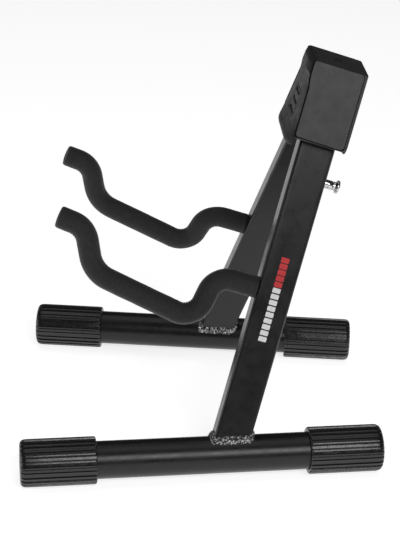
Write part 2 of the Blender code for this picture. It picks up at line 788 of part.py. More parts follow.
clear_scene()
stand = new_collection("guitar_stand")
cutters = new_collection("cutters")
cutters.hide_render = True
build_leg(1, "right")
build_leg(-1, "left")
head_bracket()
head_shell()
head_pad()
head_back()
back_screws()
hinge_hardware(1, "right")
hinge_hardware(-1, "left")
lock_parts()
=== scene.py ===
"""Folding A-frame guitar stand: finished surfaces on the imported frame."""

import math

import bmesh
import bpy
from mathutils import Matrix, Vector, noise


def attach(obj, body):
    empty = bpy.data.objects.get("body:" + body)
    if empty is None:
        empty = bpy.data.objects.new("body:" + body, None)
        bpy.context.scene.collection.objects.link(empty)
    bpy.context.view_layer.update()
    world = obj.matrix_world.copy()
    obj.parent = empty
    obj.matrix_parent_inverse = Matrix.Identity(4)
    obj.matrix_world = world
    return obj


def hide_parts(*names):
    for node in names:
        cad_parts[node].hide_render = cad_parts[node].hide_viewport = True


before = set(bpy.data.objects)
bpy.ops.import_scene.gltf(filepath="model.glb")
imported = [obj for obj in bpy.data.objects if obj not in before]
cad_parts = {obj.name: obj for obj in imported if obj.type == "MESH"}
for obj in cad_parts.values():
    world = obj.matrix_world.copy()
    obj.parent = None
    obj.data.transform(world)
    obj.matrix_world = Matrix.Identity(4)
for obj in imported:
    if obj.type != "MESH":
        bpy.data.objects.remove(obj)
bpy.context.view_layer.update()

# ---- The stand's own measures, in metres and radians -----------------------
LEAN = math.radians(16.15)
SPLAY = math.radians(19.31)
LEG_REACH = 0.3355
HINGE_X = 0.015
LEG_BASE_Y = 0.0218
FOOT_FRONT = 0.191
FOOT_REAR = 0.1472
FOOT_TUBE_R = 0.0175
CAP_R = 0.022
CAP_LENGTH = 0.070
CAP_RIBS = 24
LEG_THICK = 0.020
LEG_DEPTH = 0.034
LEG_CORNER = 0.0027
FOAM_R = 0.0102
FOAM_TIP = 0.0035                   # rounding of the sleeve at its tip
FOAM_STEP = 0.0011                  # spacing of the rings along the arm
HEAD_TOP = 0.0404
HEAD_BOTTOM = -0.0286
HEAD_TOP_HALF = 0.025
HEAD_WALL = 0.003
SHELL_FRONT = -0.0250
SHELL_REAR = 0.0225
# Front of the pad at its middle as (height, y), from its chin to its top lip.
PAD_PROFILE = ((-0.0378, -0.0304), (-0.0370, -0.0313), (-0.0338, -0.0311),
               (-0.0300, -0.0299), (-0.0220, -0.0282), (-0.0130, -0.0275),
               (-0.0060, -0.0275), (0.0245, -0.0279), (0.0262, -0.0291),
               (0.0280, -0.0315), (0.0370, -0.0315), (0.0388, -0.0308),
               (0.0396, -0.0294))
PAD_SIDE = -0.0262                  # front of the pad at its side edges
PAD_FLAT = 0.008                    # half width of its flat middle
BACK_REAR = 0.0243
BACK_DROP = 0.003                   # back plate below the shell
PLATE = 0.0228                      # rear face of the bracket, with its gap
TONGUE_FRONT = 0.0207
BRACKET_SHEET = 0.0018
BRACKET_HALF = 0.026
BRACKET_FRONT = -0.021
BRACKET_TOP = 0.027
BRACKET_BOTTOM = -0.020
PIN_DROP = 0.0771
PIN_RADIUS = math.hypot(HINGE_X, PIN_DROP)
PIN_ANGLE = SPLAY + math.atan(HINGE_X / PIN_DROP)
FOLD = math.radians(17.0)           # how far each leg swings in
BARREL_END = 0.0346
LUG_SHEET = 0.0014
LUG_HALF = 0.008
SLOT_HALF = 0.0026
DASHES = 14
RED_DASHES = 5
DASH_START = -0.1443                # first dash, down the leg from the hinge
DASH_PITCH = 0.0058

HINGE_UP = LEG_REACH * math.cos(SPLAY)
HINGE_Y = LEG_BASE_Y + HINGE_UP * math.sin(LEAN)
HINGE_Z = CAP_R + HINGE_UP * math.cos(LEAN)
TOE = math.asin(math.sin(SPLAY) * math.sin(LEAN) / math.sqrt(
    1 - (math.cos(SPLAY) * math.sin(LEAN)) ** 2))
HEAD = Matrix.Translation((0, HINGE_Y, HINGE_Z)) @ Matrix.Rotation(-LEAN, 4, "X")
LEG = HEAD @ Matrix.Translation((HINGE_X, 0, 0)) @ Matrix.Rotation(-SPLAY, 4, "Y")
FORWARD = Vector((math.sin(TOE), -math.cos(TOE), 0))
FOOT = (Matrix.Translation(LEG @ Vector((0, 0, -LEG_REACH)))
        @ Matrix((FORWARD.cross(Vector((0, 0, 1))), FORWARD, (0, 0, 1))).transposed().to_4x4())
FOOT_IN_LEG = LEG.inverted() @ FOOT

SWAP_XY = Matrix(((0, 1, 0, 0), (1, 0, 0, 0), (0, 0, 1, 0), (0, 0, 0, 1)))

# Corners of the arm's centreline in the leg's frame as (outwards, back, up from
# the foot tube's axis), then the bend radius at that corner.
ARM_ROOT = (0.0026, -0.0173, 0.1579)
ARM_BENDS = (
    ((0.0026, -0.0564, 0.1579), 0.0189),
    ((-0.0003, -0.0642, 0.1128), 0.0191),
    ((0.0051, -0.1661, 0.1314), 0.0310),
    ((0.0123, -0.1847, 0.1692), 0.0227),
)
ARM_TIP = (0.0123, -0.2105, 0.1722)


# ---- Shader helpers --------------------------------------------------------
class Mat:
    """A Principled material whose nodes work in metres on the object."""

    def __init__(self, name, metallic=0.0, **fixed):
        self.mat = bpy.data.materials.new(name)
        self.mat.use_nodes = True
        self.nodes = self.mat.node_tree.nodes
        self.links = self.mat.node_tree.links
        self.shader = self.nodes["Principled BSDF"]
        self.shader.inputs["Metallic"].default_value = metallic
        for key, value in fixed.items():
            self.shader.inputs[key.replace("_", " ")].default_value = value
        self.place = self.nodes.new("ShaderNodeTexCoord").outputs["Object"]
        self.bumps = None

    def noise(self, scale, detail=3.0, rough=0.5, stretch=None):
        """Noise whose scale counts features per metre."""
        node = self.nodes.new("ShaderNodeTexNoise")
        node.inputs["Scale"].default_value = scale
        node.inputs["Detail"].default_value = detail
        node.inputs["Roughness"].default_value = rough
        self.links.new(self.stretched(stretch), node.inputs["Vector"])
        return node.outputs["Fac"]

    def cells(self, scale, stretch=None):
        """Distance to the nearest of many scattered points."""
        node = self.nodes.new("ShaderNodeTexVoronoi")
        node.inputs["Scale"].default_value = scale
        self.links.new(self.stretched(stretch), node.inputs["Vector"])
        return node.outputs["Distance"]

    def stretched(self, stretch):
        """Object coordinates, stretched along the axes if asked."""
        if stretch is None:
            return self.place
        node = self.nodes.new("ShaderNodeMapping")
        node.inputs["Scale"].default_value = stretch
        self.links.new(self.place, node.inputs["Vector"])
        return node.outputs["Vector"]

    def ramp(self, source, stops):
        """Colours or greys at places along a factor."""
        node = self.nodes.new("ShaderNodeValToRGB")
        table = node.color_ramp.elements
        while len(table) < len(stops):
            table.new(0.5)
        for item, (place, colour) in zip(table, stops):
            item.position = place
            if not isinstance(colour, tuple):
                colour = (colour, colour, colour)
            item.color = (*colour, 1)
        self.links.new(source, node.inputs["Fac"])
        return node.outputs["Color"]

    def mix(self, factor, a, b, kind="MIX"):
        """Blend of two colours, each a socket or a constant."""
        node = self.nodes.new("ShaderNodeMix")
        node.data_type = "RGBA"
        node.blend_type = kind
        for socket, value in ((node.inputs["Factor"], factor), (node.inputs[6], a),
                              (node.inputs[7], b)):
            if hasattr(value, "links"):
                self.links.new(value, socket)
            else:
                socket.default_value = value
        return node.outputs[2]

    def colour(self, source):
        self.links.new(source, self.shader.inputs["Base Color"])

    def rough(self, source, low, high):
        node = self.nodes.new("ShaderNodeMapRange")
        node.inputs["To Min"].default_value = low
        node.inputs["To Max"].default_value = high
        node.inputs["From Min"].default_value = 0.3
        node.inputs["From Max"].default_value = 0.7
        self.links.new(source, node.inputs["Value"])
        self.links.new(node.outputs["Result"], self.shader.inputs["Roughness"])

    def bump(self, source, height, strength=1.0):
        node = self.nodes.new("ShaderNodeBump")
        node.inputs["Distance"].default_value = height
        node.inputs["Strength"].default_value = strength
        self.links.new(source, node.inputs["Height"])
        if self.bumps is not None:
            self.links.new(self.bumps, node.inputs["Normal"])
        self.bumps = node.outputs["Normal"]
        self.links.new(self.bumps, self.shader.inputs["Normal"])


def powder_coat():
    """Satin black powder coat with orange peel, faint dust and small rubs."""
    m = Mat("powder_coat", Specular_IOR_Level=0.38)
    cloud = m.noise(14, 4, 0.6)
    base = m.ramp(cloud, ((0.3, (0.0060, 0.0058, 0.0064)), (0.75, (0.0115, 0.0112, 0.0122))))
    speck = m.ramp(m.noise(2600, 2, 0.5), ((0.68, 0.0), (0.84, 0.8)))
    m.colour(m.mix(speck, base, (0.032, 0.032, 0.034, 1)))
    m.rough(m.noise(60, 5, 0.65), 0.24, 0.36)
    m.bump(m.noise(900, 2, 0.5), 0.00012, 0.35)
    m.bump(m.noise(55, 3, 0.6), 0.0003, 0.10)
    return m.mat


def cap_rubber():
    """Moulded rubber, slightly chalky, with fine pits."""
    m = Mat("cap_rubber", Specular_IOR_Level=0.62)
    cloud = m.noise(35, 5, 0.65)
    base = m.ramp(cloud, ((0.3, (0.0040, 0.0040, 0.0046)), (0.72, (0.0095, 0.0095, 0.0105))))
    dust = m.ramp(m.noise(420, 5, 0.7), ((0.55, 0.0), (0.8, 0.5)))
    m.colour(m.mix(dust, base, (0.024, 0.024, 0.025, 1)))
    m.rough(m.noise(160, 4, 0.6), 0.20, 0.34)
    m.bump(m.noise(1500, 3, 0.6), 0.00008, 0.35)
    m.bump(m.noise(150, 3, 0.5), 0.0002, 0.15)
    return m.mat


def pad_rubber():
    """Soft grip rubber, brownish black, with a fine leather-like grain."""
    m = Mat("pad_rubber", Specular_IOR_Level=0.22, Sheen_Weight=0.04, Sheen_Roughness=0.45)
    cloud = m.noise(45, 5, 0.6)
    base = m.ramp(cloud, ((0.3, (0.0062, 0.0056, 0.0052)), (0.75, (0.0118, 0.0107, 0.0099))))
    m.colour(m.mix(m.ramp(m.noise(900, 3, 0.6), ((0.6, 0.0), (0.8, 0.6))), base,
                   (0.034, 0.031, 0.029, 1)))
    m.rough(m.noise(220, 4, 0.6), 0.46, 0.66)
    m.bump(m.cells(900), 0.00012, 0.5)
    m.bump(m.noise(2400, 2, 0.5), 0.00008, 0.5)
    return m.mat


def arm_foam_look():
    """Closed-cell foam skin: tiny cells, soft wrinkles and a dry sheen."""
    m = Mat("arm_foam", Specular_IOR_Level=0.3, Sheen_Weight=0.25, Sheen_Roughness=0.4)
    cloud = m.noise(40, 5, 0.65)
    base = m.ramp(cloud, ((0.3, (0.0075, 0.0073, 0.0074)), (0.75, (0.0145, 0.0140, 0.0142))))
    cell = m.ramp(m.cells(1500), ((0.1, 0.0), (0.55, 0.55)))
    m.colour(m.mix(cell, base, (0.021, 0.0205, 0.0205, 1)))
    m.rough(m.noise(300, 4, 0.6), 0.62, 0.82)
    m.bump(m.cells(1500), 0.00018, 0.7)
    m.bump(m.noise(260, 4, 0.6), 0.0003, 0.4)
    return m.mat


def shell_plastic():
    """Fine spark-grained plastic, a shade greyer than the steel."""
    m = Mat("shell_plastic", Specular_IOR_Level=0.5)
    cloud = m.noise(22, 4, 0.6)
    base = m.ramp(cloud, ((0.3, (0.0165, 0.0160, 0.0168)), (0.75, (0.0250, 0.0243, 0.0252))))
    grain = m.ramp(m.noise(3000, 2, 0.5), ((0.55, 0.0), (0.75, 0.7)))
    m.colour(m.mix(grain, base, (0.042, 0.042, 0.044, 1)))
    m.rough(m.noise(90, 4, 0.6), 0.40, 0.52)
    m.bump(m.noise(2600, 3, 0.6), 0.00012, 0.6)
    return m.mat


def seam_shade_look():
    """Painted shade: matt near-black that stands in for the shadow in the gap around a cover."""
    m = Mat("painted_seam_shade", Specular_IOR_Level=0.08)
    m.colour(m.ramp(m.noise(300, 3, 0.6), ((0.3, 0.0012), (0.7, 0.0030))))
    m.rough(m.noise(200, 3, 0.5), 0.75, 0.9)
    m.bump(m.noise(1500, 2, 0.5), 0.00006, 0.3)
    return m.mat


def weld_with_painted_glints():
    """Painted weld spatter: rough black, with pale metal patches on the crests that are partly
    bare steel and partly painted glints.
    """
    m = Mat("weld_bead_painted_glints", metallic=0.45, Specular_IOR_Level=0.6)
    glint_lumps = m.noise(520, 5, 0.7)
    # The pale top stop paints glints into the colour on the crests, and also stands for bare
    # steel.
    base = m.ramp(glint_lumps, ((0.35, (0.006, 0.006, 0.006)), (0.50, (0.03, 0.03, 0.03)),
                          (0.60, (0.62, 0.62, 0.64))))
    m.colour(base)
    m.rough(m.noise(300, 4, 0.6), 0.12, 0.4)
    m.bump(m.noise(700, 4, 0.65), 0.0006, 0.9)
    return m.mat


def plated(name, colour, low, high, bump):
    """Bright metal with turning marks, dulled unevenly."""
    m = Mat(name, metallic=1.0)
    cloud = m.noise(120, 4, 0.6)
    darker = tuple(c * 0.82 for c in colour)
    m.colour(m.ramp(cloud, ((0.3, darker), (0.7, colour))))
    m.rough(m.noise(400, 4, 0.6), low, high)
    m.bump(m.noise(1800, 3, 0.6, (0.2, 1.6, 0.2)), bump, 0.4)
    return m.mat


def print_look(name, colour):
    """Screen print: an ink film that shows a little of the coat's texture."""
    m = Mat(name, Specular_IOR_Level=0.4)
    low = tuple(c * 0.80 for c in colour)
    m.colour(m.ramp(m.noise(1100, 4, 0.65), ((0.3, low), (0.6, colour))))
    m.rough(m.noise(300, 3, 0.5), 0.38, 0.5)
    m.bump(m.noise(900, 2, 0.5), 0.0001, 0.3)
    return m.mat


COAT = powder_coat()
CAP = cap_rubber()
PAD = pad_rubber()
FOAM = arm_foam_look()
SHELL = shell_plastic()
SEAM_SHADE = seam_shade_look()
WELD = weld_with_painted_glints()
CHROME = plated("chrome", (0.60, 0.60, 0.61), 0.06, 0.14, 0.00002)
ZINC = plated("zinc", (0.48, 0.48, 0.49), 0.26, 0.42, 0.00006)
RED = print_look("red_print", (0.55, 0.025, 0.03))
WHITE = print_look("white_print", (0.78, 0.78, 0.78))


# ---- Mesh helpers ----------------------------------------------------------
def piece(name, shape, place, look, body, node=None, side=1, sharp=35):
    """Place a bmesh in the row's frame, mirrored for the left side."""
    bmesh.ops.transform(shape, matrix=place, verts=shape.verts)
    if side < 0:
        bmesh.ops.transform(shape, matrix=Matrix.Scale(-1, 4, (1, 0, 0)), verts=shape.verts)
    bmesh.ops.recalc_face_normals(shape, faces=shape.faces)
    mesh = bpy.data.meshes.new(name)
    shape.to_mesh(mesh)
    shape.free()
    mesh.polygons.foreach_set("use_smooth", [True] * len(mesh.polygons))
    mesh.set_sharp_from_angle(angle=math.radians(sharp))
    wide = {key for face in mesh.polygons if len(face.vertices) > 12 for key in face.edge_keys}
    for edge in mesh.edges:
        if edge.key in wide:
            edge.use_edge_sharp = True
    item = bpy.data.objects.new(name, mesh)
    bpy.context.scene.collection.objects.link(item)
    mesh.materials.append(look)
    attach(item, body)
    if node is not None:
        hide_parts(node)
    return item


def loft(rings, closed=False, caps=True):
    """Skin over rings of equal size, capped unless it closes on itself."""
    shape = bmesh.new()
    rows = [[shape.verts.new(point) for point in ring] for ring in rings]
    size = len(rows[0])
    for i in range(len(rows) if closed else len(rows) - 1):
        here = rows[i]
        after = rows[(i + 1) % len(rows)]
        for j in range(size):
            k = (j + 1) % size
            shape.faces.new((here[j], here[k], after[k], after[j]))
    if caps and not closed:
        shape.faces.new(rows[0])
        shape.faces.new(rows[-1])
    return shape


def turned(profile, sides=64, x=0.0, z=0.0, closed=False):
    """Solid turned about the y axis from (radius, y) points."""
    rings = []
    for radius, y in profile:
        ring = []
        for i in range(sides):
            turn = 2 * math.pi * (i + 0.5) / sides
            ring.append((x + radius * math.cos(turn), y, z + radius * math.sin(turn)))
        rings.append(ring)
    return loft(rings, closed)


def prism(outline, start, end, bevel=0.0, segments=3):
    """Solid between two y positions from a flat (x, z) outline, edges rounded."""
    shape = bmesh.new()
    near = [shape.verts.new((x, start, z)) for x, z in outline]
    far = [shape.verts.new((x, end, z)) for x, z in outline]
    faces = [shape.faces.new(near), shape.faces.new(far)]
    for i in range(len(outline)):
        j = (i + 1) % len(outline)
        shape.faces.new((near[i], near[j], far[j], far[i]))
    if bevel > 0:
        rims = [edge for face in faces for edge in face.edges]
        bmesh.ops.bevel(shape, geom=rims, offset=bevel, segments=segments, profile=0.5,
                        affect="EDGES", clamp_overlap=True)
    return shape


def box_outline(half_x, half_y, radius, steps):
    """Rectangle with round corners, anticlockwise."""
    points = []
    for sx, sy, start in ((1, 1, 0), (-1, 1, 90), (-1, -1, 180), (1, -1, 270)):
        for i in range(steps + 1):
            turn = math.radians(start + 90 * i / steps)
            points.append((sx * (half_x - radius) + radius * math.cos(turn),
                           sy * (half_y - radius) + radius * math.sin(turn)))
    return points


def fillet(corner, back, ahead, radius, steps):
    """Arc that rounds a corner between two unit directions."""
    half = back.angle(ahead) / 2
    reach = radius / math.tan(half)
    centre = corner + (back + ahead).normalized() * (radius / math.sin(half))
    first = corner + back * reach - centre
    last = corner + ahead * reach - centre
    arc = first.angle(last)
    points = []
    for i in range(steps + 1):
        share = i / steps
        mix = first * math.sin((1 - share) * arc) + last * math.sin(share * arc)
        points.append(tuple(centre + mix / math.sin(arc)))
    return points


def rounded_outline(corners, radii, steps=8):
    """Polygon with each corner rounded to its own radius."""
    points = []
    for i in range(len(corners)):
        here = Vector(corners[i])
        if radii[i] == 0:
            points.append(tuple(here))
            continue
        back = (Vector(corners[i - 1]) - here).normalized()
        ahead = (Vector(corners[(i + 1) % len(corners)]) - here).normalized()
        points.extend(fillet(here, back, ahead, radii[i], steps))
    return points


def split_edges(outline, longest):
    """Add points so that no edge of an outline is much too long."""
    points = []
    for i, point in enumerate(outline):
        here = Vector(point)
        after = Vector(outline[(i + 1) % len(outline)])
        parts = max(1, round((after - here).length / longest))
        for j in range(parts):
            points.append(tuple(here.lerp(after, j / parts)))
    return points


def tube_height(x, y, radius):
    """Height of the foot tube's skin over a place across the leg."""
    axis = FOOT_IN_LEG.to_3x3() @ Vector((0, 1, 0))
    flat = x * axis.x + y * axis.y
    a = 1 - axis.z ** 2
    b = -2 * axis.z * flat
    c = x * x + y * y - flat * flat - radius * radius
    return (-b + math.sqrt(b * b - 4 * a * c)) / (2 * a) - LEG_REACH


def even_path(points, step):
    """Points at an even spacing along a polyline."""
    out = [Vector(points[0])]
    carry = 0.0
    for start, end in zip(points, points[1:]):
        a = Vector(start)
        b = Vector(end)
        length = (b - a).length
        at = step - carry
        while at < length:
            out.append(a.lerp(b, at / length))
            at += step
        carry = (carry + length) % step
    if (out[-1] - Vector(points[-1])).length > step * 0.3:
        out.append(Vector(points[-1]))
    else:
        out[-1] = Vector(points[-1])
    return out


# ---- Leg pieces ------------------------------------------------------------
def leg_tube(side, word, body):
    """Open-topped tube, its foot cut to lie on the round foot tube."""
    outline = split_edges(box_outline(LEG_THICK / 2, LEG_DEPTH / 2, LEG_CORNER, 8), 0.003)
    rings = [[(x, y, tube_height(x, y, FOOT_TUBE_R - 0.0004)) for x, y in outline]]
    for z in (-0.27, -0.18, -0.09, 0.0):
        rings.append([(x, y, z) for x, y in outline])
    rings.append([(x, y, 0.0115) for x, y in outline])
    rings.append([(x * 0.97, y * 0.98, 0.012) for x, y in outline])
    rings.append([(x * 0.84, y * 0.905, 0.012) for x, y in outline])
    rings.append([(x * 0.83, y * 0.90, -0.03) for x, y in outline])
    piece(f"{word}_leg", loft(rings), LEG, COAT, body, f"{word}_leg_tube", side)


def foot_tube(side, word, body):
    """Plain round tube between the two caps."""
    back = -FOOT_REAR + 0.008
    front = FOOT_FRONT - 0.008
    profile = [(FOOT_TUBE_R, back + (front - back) * i / 12) for i in range(13)]
    piece(f"{word}_foot", turned(profile, 96), FOOT, COAT, body, f"{word}_foot_tube",
          side)


def cap_ring(y, radius, groove, per=12):
    """Ribbed outline: crisp, faintly hollow crowns with wide grooves between."""
    ring = []
    for i in range(CAP_RIBS):
        for j in range(per):
            share = (j + 0.5) / per
            across = abs(share - 0.5) * 2
            dip = min(1.0, max(0.0, (across - 0.40) / 0.20))
            dip = dip * dip * (3 - 2 * dip)
            hollow = 0.22 * max(0.0, 1 - across / 0.30)
            turn = -math.pi / 2 + (i + share - 0.5) * 2 * math.pi / CAP_RIBS
            reach = radius - groove * max(dip, hollow)
            ring.append((reach * math.cos(turn), y, reach * math.sin(turn)))
    return ring


def end_cap(side, word, body, end, direction, reach):
    """Ribbed cup: rolled mouth, ribs that run out over the domed end."""
    mouth = reach - CAP_LENGTH
    rings = []
    for radius, y in ((FOOT_TUBE_R + 0.0001, 0.012), (FOOT_TUBE_R + 0.0001, 0.0009),
                      (FOOT_TUBE_R + 0.0006, 0.0003), (FOOT_TUBE_R + 0.0014, 0.0)):
        rings.append(cap_ring(mouth + y, radius, 0))
    for inset, y, groove in ((0.0016, 0.0000, 0.0004), (0.0007, 0.0003, 0.0009),
                             (0.0002, 0.0009, 0.0013), (0, 0.0018, 0.0014),
                             (0, 0.022, 0.0014), (0, 0.044, 0.0014), (0, 0.0640, 0.0014),
                             (0.0003, 0.0664, 0.0014), (0.0011, 0.0681, 0.0013),
                             (0.0024, 0.0692, 0.0011), (0.0042, 0.0698, 0.0006),
                             (0.0060, 0.07, 0.0001), (0.0095, 0.07, 0),
                             (0.0101, 0.0695, 0), (0.0108, 0.0695, 0)):
        rings.append(cap_ring(mouth + y, CAP_R - inset, groove))
    shape = loft(rings)
    if direction < 0:
        bmesh.ops.transform(shape, matrix=Matrix.Scale(-1, 4, (0, 1, 0)), verts=shape.verts)
    piece(f"{word}_{end}_end", shape, FOOT, CAP, body, f"{word}_{end}_cap",
          side, 50)


def foot_weld(side, word, body):
    """Uneven bead of overlapping ripples round the foot of the leg."""
    outline = split_edges(box_outline(LEG_THICK / 2, LEG_DEPTH / 2, LEG_CORNER, 8), 0.0006)
    count = len(outline)
    rings = []
    for i, (x, y) in enumerate(outline):
        along = (Vector(outline[(i + 1) % count]) - Vector(outline[i - 1])).normalized()
        out = Vector((along.y, -along.x))
        wander = noise.noise(Vector((x * 260, y * 260, side * 3.0)))
        ripple = 0.5 + 0.5 * math.sin(i * 2 * math.pi / 5.0)
        size = 0.0030 + 0.0007 * wander + 0.0005 * ripple
        ring = []
        for j in range(11):
            turn = math.pi / 2 * (j / 10)
            lump = 1 + 0.10 * noise.noise(Vector((x * 900, y * 900, j * 0.9)))
            away = size * math.sin(turn) * lump
            lift = 1.5 * size * math.cos(turn) * lump
            px = x + out.x * (away - 0.0003)
            py = y + out.y * (away - 0.0003)
            ring.append((px, py, tube_height(px, py, FOOT_TUBE_R) + lift - 0.0002))
        px = x - out.x * 0.0012
        py = y - out.y * 0.0012
        ring.append((px, py, tube_height(px, py, FOOT_TUBE_R - 0.001)))
        rings.append(ring)
    piece(f"{word}_foot_bead", loft(rings, closed=True), LEG, WELD, body,
          f"{word}_foot_weld", side, 60)


def arm_points():
    """Evenly spaced points along the arm's bent centreline."""
    def place(point):
        return Vector((point[0], point[1], point[2] - LEG_REACH))

    corners = [place(ARM_ROOT)]
    corners.extend(place(bend[0]) for bend in ARM_BENDS)
    corners.append(place(ARM_TIP))
    path = [tuple(corners[0])]
    for i, bend in enumerate(ARM_BENDS):
        here = corners[i + 1]
        back = (corners[i] - here).normalized()
        ahead = (corners[i + 2] - here).normalized()
        path.extend(fillet(here, back, ahead, bend[1], 24))
    path.append(tuple(corners[-1]))
    return even_path(path, FOAM_STEP)


def arm_foam(side, word, body):
    """Foam sleeve that wrinkles on the inside of its bends."""
    path = arm_points()
    count = len(path)
    tangents = [(path[min(i + 1, count - 1)] - path[max(i - 1, 0)]).normalized()
                for i in range(count)]
    tangents[0] = Vector((0, -1, 0))
    rings = []
    sides = 56
    for i in range(count):
        along = tangents[i]
        bend = tangents[min(i + 5, count - 1)] - tangents[max(i - 5, 0)]
        across = (Vector((1, 0, 0)) - along * along.x).normalized()
        third = along.cross(across)
        from_tip = (count - 1 - i) * FOAM_STEP
        from_root = i * FOAM_STEP
        radius = FOAM_R
        if from_tip < FOAM_TIP:
            left = max(0.0, FOAM_TIP ** 2 - (FOAM_TIP - from_tip) ** 2)
            radius = FOAM_R - FOAM_TIP + math.sqrt(left)
        if from_root < 0.002:
            radius = FOAM_R + 0.0004 - 0.0006 * (1 - from_root / 0.002) ** 2
        ring = []
        for j in range(sides):
            turn = 2 * math.pi * j / sides
            spoke = across * math.cos(turn) + third * math.sin(turn)
            inner = max(0.0, spoke.dot(bend) - 0.22)
            at = path[i] + spoke * radius
            soft = noise.noise(at * 55 + Vector((side * 7.0, 0, 0))) * 0.00028
            fold = 0.5 + 0.5 * math.sin(i * 2 * math.pi / 4.2 + 1.5 * noise.noise(at * 90))
            swell = radius + soft - inner * 0.0024 * fold + inner * 0.0004
            ring.append(tuple(path[i] + spoke * swell))
        rings.append(ring)
    tip = path[-1]
    along = tangents[-1]
    for reach, back in ((0.0062, 0.0), (0.0060, 0.0006), (0.0055, 0.0008)):
        across = (Vector((1, 0, 0)) - along * along.x).normalized()
        third = along.cross(across)
        rings.append([tuple(tip - along * back + across * reach * math.cos(2 * math.pi * j / sides)
                            + third * reach * math.sin(2 * math.pi * j / sides))
                      for j in range(sides)])
    item = piece(f"{word}_foam_sleeve", loft(rings), LEG, FOAM, body, f"{word}_arm_foam",
                 side, 70)


def leg_print(side, word, body):
    """Plain red and white dashes printed down the outer face of the leg."""
    face = LEG_THICK / 2 + 0.00005
    for i in range(DASHES):
        red = i < RED_DASHES
        length = 0.0050 if red else 0.0046
        start = DASH_START - i * DASH_PITCH
        outline = rounded_outline([(-0.0038, start), (0.0038, start),
                                   (0.0038, start - length), (-0.0038, start - length)],
                                  (0.0008, 0.0008, 0.0008, 0.0008), 4)
        shape = prism([(y + 0.0005, z) for y, z in outline], 0, 0.00008)
        turn = Matrix.Translation((face, 0, 0)) @ SWAP_XY
        colour = "red" if red else "white"
        piece(f"{word}_{colour}_dash_{i + 1}", shape, LEG @ turn, RED if red else WHITE, body,
              None, side)


# ---- Head pieces -----------------------------------------------------------
def head_half(z, inset=0.0):
    """Half width of the tapered head at a height."""
    return HEAD_TOP_HALF + (HEAD_TOP - z) * math.tan(SPLAY) - inset / math.cos(SPLAY)


def head_shell():
    """Tapered housing with soft edges, and the plain rim on its top."""
    top = HEAD_TOP - HEAD_WALL
    corners = [(-head_half(HEAD_BOTTOM), HEAD_BOTTOM), (-HEAD_TOP_HALF, HEAD_TOP),
               (HEAD_TOP_HALF, HEAD_TOP), (head_half(HEAD_BOTTOM), HEAD_BOTTOM),
               (head_half(HEAD_BOTTOM, HEAD_WALL), HEAD_BOTTOM), (head_half(top, HEAD_WALL), top),
               (-head_half(top, HEAD_WALL), top),
               (-head_half(HEAD_BOTTOM, HEAD_WALL), HEAD_BOTTOM)]
    outline = rounded_outline(corners, (0.0014, 0.0016, 0.0016, 0.0014, 0.0010, 0.002, 0.002,
                                        0.0010), 8)
    shape = prism(outline, SHELL_FRONT, SHELL_REAR, 0.0010, 5)
    piece("head_housing", shape, HEAD, SHELL, "head", "head_shell", 1, 40)
    recess = rounded_outline([(-0.0050, -0.0050), (0.0012, -0.0050), (0.0012, 0.0022),
                              (-0.0050, 0.0022)], (0.0006, 0.0006, 0.0006, 0.0006), 5)
    frame_in = rounded_outline([(-0.0042, -0.0042), (0.0004, -0.0042), (0.0004, 0.0014),
                                (-0.0042, 0.0014)], (0.0004, 0.0004, 0.0004, 0.0004), 5)
    rings = [[(x, y, HEAD_TOP - 0.0001) for x, y in recess],
             [(x, y, HEAD_TOP + 0.00035) for x, y in recess],
             [(x, y, HEAD_TOP + 0.00035) for x, y in frame_in],
             [(x, y, HEAD_TOP - 0.0001) for x, y in frame_in]]
    piece("top_rim", loft(rings, closed=True), HEAD, PAD, "head", None)


def head_back():
    """Back plate, with a moulded collar around each nut."""
    low = HEAD_BOTTOM - BACK_DROP
    corners = [(-head_half(low, 0.001), low), (-head_half(HEAD_TOP), HEAD_TOP),
               (head_half(HEAD_TOP), HEAD_TOP), (head_half(low, 0.001), low)]
    outline = rounded_outline(corners, (0.006, 0.003, 0.003, 0.006), 10)
    shape = prism(outline, PLATE, BACK_REAR, 0.0006, 4)
    piece("head_rear_plate", shape, HEAD, SHELL, "head", "head_back", 1, 40)
    for i, x in enumerate((-HINGE_X, HINGE_X)):
        collar = [(0.0083, BACK_REAR - 0.0002), (0.0085, BACK_REAR + 0.0005),
                  (0.0091, BACK_REAR + 0.0007), (0.0097, BACK_REAR + 0.0005),
                  (0.0101, BACK_REAR - 0.0002)]
        piece(f"nut_collar_{i + 1}", turned(collar, 64, x, closed=True), HEAD, SHELL, "head",
              None)


def pad_front(z):
    """Forward face of the pad's middle at a height, with its steps eased."""
    total = 0.0
    for offset in (-0.0009, -0.0003, 0.0003, 0.0009):
        at = min(max(z + offset, PAD_PROFILE[0][0]), PAD_PROFILE[-1][0])
        for (z0, y0), (z1, y1) in zip(PAD_PROFILE, PAD_PROFILE[1:]):
            if z0 <= at <= z1:
                total += (y0 + (y1 - y0) * (at - z0) / (z1 - z0)) / 4
                break
    return total


def ease(value):
    """Smooth step from zero to one."""
    value = min(max(value, 0.0), 1.0)
    return value * value * (3 - 2 * value)


def corner_loss(distance, radius):
    """How far a rounded corner draws back at a distance from its end."""
    if distance >= radius:
        return 0.0
    return radius - math.sqrt(max(0.0, radius ** 2 - (radius - distance) ** 2))


def groove(x, z):
    """Depth of the pad's plain moulded bars at a place, as a share of one."""
    deepest = 0.0
    for step in range(3):
        middle = -0.0155 + 0.009 * step
        reach = math.hypot(max(0.0, abs(x) - 0.0105), z - middle)
        deepest = max(deepest, 1 - ease((reach - 0.0011) / 0.0010))
    rim = math.hypot(max(0.0, abs(x) - 0.0135), max(0.0, abs(z + 0.0065) - 0.0105))
    frame_line = max(0.0, 1 - abs(rim - 0.0022) / 0.0007)
    return max(deepest, 0.6 * ease(frame_line))


